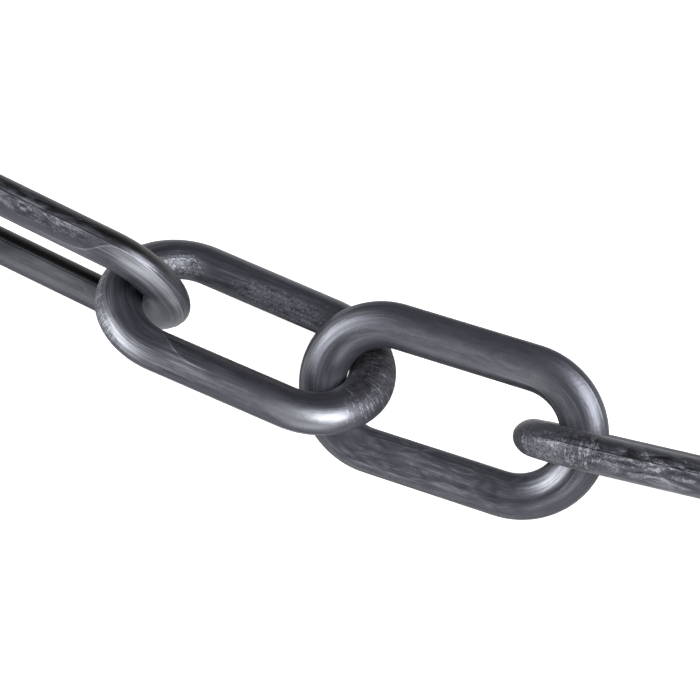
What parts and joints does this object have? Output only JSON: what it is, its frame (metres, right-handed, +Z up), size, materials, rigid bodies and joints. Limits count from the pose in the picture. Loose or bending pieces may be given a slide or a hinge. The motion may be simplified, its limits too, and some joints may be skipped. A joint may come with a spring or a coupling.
{
  "type": "plastic link chain",
  "caption": "Moulded plastic link chain in silver-grey: closed oval links hooked one into the next, stretched out on the floor, each free to swing on its neighbour.",
  "frame": {"origin": "middle of the chain's footprint, on the floor", "axes": "+X along the chain towards its last link, +Z up from the floor"},
  "size_m": [0.9938, 0.1124, 0.0364],
  "materials": {
    "pewter_plastic": "silver-grey metallic-pigment polyethylene, semi-gloss, with pale swirled flow marks"
  },
  "bodies": {
    "link_01": {"link_01": "pewter_plastic"},
    "link_02": {"link_02": "pewter_plastic"},
    "link_03": {"link_03": "pewter_plastic"},
    "link_04": {"link_04": "pewter_plastic"},
    "link_05": {"link_05": "pewter_plastic"},
    "link_06": {"link_06": "pewter_plastic"},
    "link_07": {"link_07": "pewter_plastic"},
    "link_08": {"link_08": "pewter_plastic"},
    "link_09": {"link_09": "pewter_plastic"},
    "link_10": {"link_10": "pewter_plastic"},
    "link_11": {"link_11": "pewter_plastic"},
    "link_12": {"link_12": "pewter_plastic"},
    "link_13": {"link_13": "pewter_plastic"},
    "link_14": {"link_14": "pewter_plastic"},
    "link_15": {"link_15": "pewter_plastic"},
    "link_16": {"link_16": "pewter_plastic"},
    "link_17": {"link_17": "pewter_plastic"},
    "link_18": {"link_18": "pewter_plastic"},
    "link_19": {"link_19": "pewter_plastic"},
    "link_20": {"link_20": "pewter_plastic"},
    "link_21": {"link_21": "pewter_plastic"},
    "link_22": {"link_22": "pewter_plastic"},
    "link_23": {"link_23": "pewter_plastic"},
    "link_24": {"link_24": "pewter_plastic"},
    "link_25": {"link_25": "pewter_plastic"},
    "link_26": {"link_26": "pewter_plastic"}
  },
  "joints": [
    {"name": "hook_13_14", "type": "hinge", "parent": "link_13", "child": "link_14", "pos_m": [0.00352, -0.04195, 0.01069], "axis": [-0.0608, -0.6425, 0.7639], "range_deg": [-90, 90]},
    {"name": "hook_14_15", "type": "hinge", "parent": "link_14", "child": "link_15", "pos_m": [0.04154, -0.04113, 0.01424], "axis": [0.1049, -0.8983, -0.4266], "range_deg": [-90, 90]},
    {"name": "hook_15_16", "type": "hinge", "parent": "link_15", "child": "link_16", "pos_m": [0.07956, -0.03689, 0.01395], "axis": [-0.1265, 0.7909, -0.5987], "range_deg": [-90, 90]},
    {"name": "hook_16_17", "type": "hinge", "parent": "link_16", "child": "link_17", "pos_m": [0.11723, -0.03152, 0.01285], "axis": [-0.1594, 0.7516, 0.6401], "range_deg": [-90, 90]},
    {"name": "hook_17_18", "type": "hinge", "parent": "link_17", "child": "link_18", "pos_m": [0.15475, -0.02298, 0.01217], "axis": [0.1775, -0.703, 0.6887], "range_deg": [-90, 90]},
    {"name": "hook_18_19", "type": "hinge", "parent": "link_18", "child": "link_19", "pos_m": [0.19195, -0.01319, 0.01257], "axis": [0.2194, -0.7892, -0.5737], "range_deg": [-90, 90]},
    {"name": "hook_19_20", "type": "hinge", "parent": "link_19", "child": "link_20", "pos_m": [0.22893, -0.00283, 0.01246], "axis": [-0.1988, 0.6933, -0.6927], "range_deg": [-90, 90]},
    {"name": "hook_20_21", "type": "hinge", "parent": "link_20", "child": "link_21", "pos_m": [0.26592, 0.00756, 0.01225], "axis": [-0.2072, 0.7453, 0.6338], "range_deg": [-90, 90]},
    {"name": "hook_21_22", "type": "hinge", "parent": "link_21", "child": "link_22", "pos_m": [0.3031, 0.01743, 0.01279], "axis": [0.1951, -0.7728, 0.6039], "range_deg": [-90, 90]},
    {"name": "hook_22_23", "type": "hinge", "parent": "link_22", "child": "link_23", "pos_m": [0.34051, 0.02639, 0.01218], "axis": [0.147, -0.6932, -0.7056], "range_deg": [-90, 90]},
    {"name": "hook_23_24", "type": "hinge", "parent": "link_23", "child": "link_24", "pos_m": [0.37815, 0.03408, 0.01247], "axis": [-0.1283, 0.8023, -0.583], "range_deg": [-90, 90]},
    {"name": "hook_24_25", "type": "hinge", "parent": "link_24", "child": "link_25", "pos_m": [0.41607, 0.04016, 0.01249], "axis": [-0.074, 0.745, 0.6629], "range_deg": [-90, 90]},
    {"name": "hook_25_26", "type": "hinge", "parent": "link_25", "child": "link_26", "pos_m": [0.45437, 0.04403, 0.01242], "axis": [0.025, -0.7416, 0.6703], "range_deg": [-90, 90]},
    {"name": "hook_12_13", "type": "hinge", "parent": "link_13", "child": "link_12", "pos_m": [-0.04318, -0.03991, 0.0155], "axis": [0.054, 0.998, 0.0342], "range_deg": [-90, 90]},
    {"name": "hook_11_12", "type": "hinge", "parent": "link_12", "child": "link_11", "pos_m": [-0.08106, -0.03799, 0.0194], "axis": [0.2024, 0.347, -0.9158], "range_deg": [-90, 90]},
    {"name": "hook_10_11", "type": "hinge", "parent": "link_11", "child": "link_10", "pos_m": [-0.11847, -0.03109, 0.01375], "axis": [-0.1896, -0.8937, -0.4067], "range_deg": [-90, 90]},
    {"name": "hook_09_10", "type": "hinge", "parent": "link_10", "child": "link_09", "pos_m": [-0.15553, -0.02236, 0.01184], "axis": [-0.1297, -0.5138, 0.848], "range_deg": [-90, 90]},
    {"name": "hook_08_09", "type": "hinge", "parent": "link_09", "child": "link_08", "pos_m": [-0.19217, -0.01325, 0.01175], "axis": [0.2102, 0.7563, 0.6196], "range_deg": [-90, 90]},
    {"name": "hook_07_08", "type": "hinge", "parent": "link_08", "child": "link_07", "pos_m": [-0.22909, -0.0034, 0.01225], "axis": [0.1968, 0.6864, -0.7001], "range_deg": [-90, 90]},
    {"name": "hook_06_07", "type": "hinge", "parent": "link_07", "child": "link_06", "pos_m": [-0.266, 0.00734, 0.0124], "axis": [-0.2189, -0.7876, -0.576], "range_deg": [-90, 90]},
    {"name": "hook_05_06", "type": "hinge", "parent": "link_06", "child": "link_05", "pos_m": [-0.30302, 0.01745, 0.01264], "axis": [-0.1799, -0.7128, 0.6779], "range_deg": [-90, 90]},
    {"name": "hook_04_05", "type": "hinge", "parent": "link_05", "child": "link_04", "pos_m": [-0.34039, 0.02644, 0.01218], "axis": [0.1569, 0.7397, 0.6544], "range_deg": [-90, 90]},
    {"name": "hook_03_04", "type": "hinge", "parent": "link_04", "child": "link_03", "pos_m": [-0.37815, 0.03388, 0.01282], "axis": [0.1277, 0.7985, -0.5882], "range_deg": [-90, 90]},
    {"name": "hook_02_03", "type": "hinge", "parent": "link_03", "child": "link_02", "pos_m": [-0.41618, 0.03949, 0.01217], "axis": [-0.0699, -0.7039, -0.7069], "range_deg": [-90, 90]},
    {"name": "hook_01_02", "type": "hinge", "parent": "link_02", "child": "link_01", "pos_m": [-0.45443, 0.04301, 0.01245], "axis": [-0.027, -0.8021, 0.5965], "range_deg": [-90, 90]}
  ]
}
